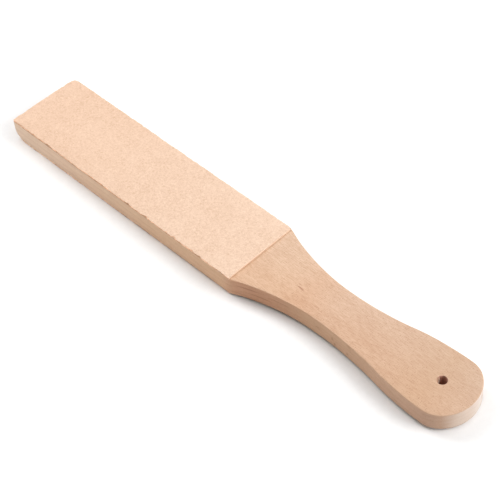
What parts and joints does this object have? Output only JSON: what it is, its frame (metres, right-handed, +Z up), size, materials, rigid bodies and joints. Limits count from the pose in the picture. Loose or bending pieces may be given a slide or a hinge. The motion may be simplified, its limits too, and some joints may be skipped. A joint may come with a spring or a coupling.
{
  "type": "leather strop",
  "caption": "Double-sided paddle strop: beech paddle with a shaped handle and hanging hole, suede leather strips cemented flat on both faces of the blade, for honing carving knives.",
  "frame": {"origin": "under the middle of the strop's bounding box, on the surface it lies on (the outer face of the back leather)", "axes": "+X from the blade's tip towards the handle's butt, +Y across the blade, +Z up through the front leather"},
  "size_m": [0.3428, 0.05, 0.0148],
  "materials": {
    "beech": "sanded bare beech, satin, fine short ray flecks along the length",
    "suede_leather": "vegetable-tanned leather, flesh side out, matt fine nap, brown cut edges",
    "contact_cement": "dried brown contact cement, dull"
  },
  "bodies": {
    "root": {"wooden_paddle": "beech", "front_leather": "suede_leather", "front_glue_layer": "contact_cement", "back_leather": "suede_leather", "back_glue_layer": "contact_cement"}
  },
  "joints": []
}
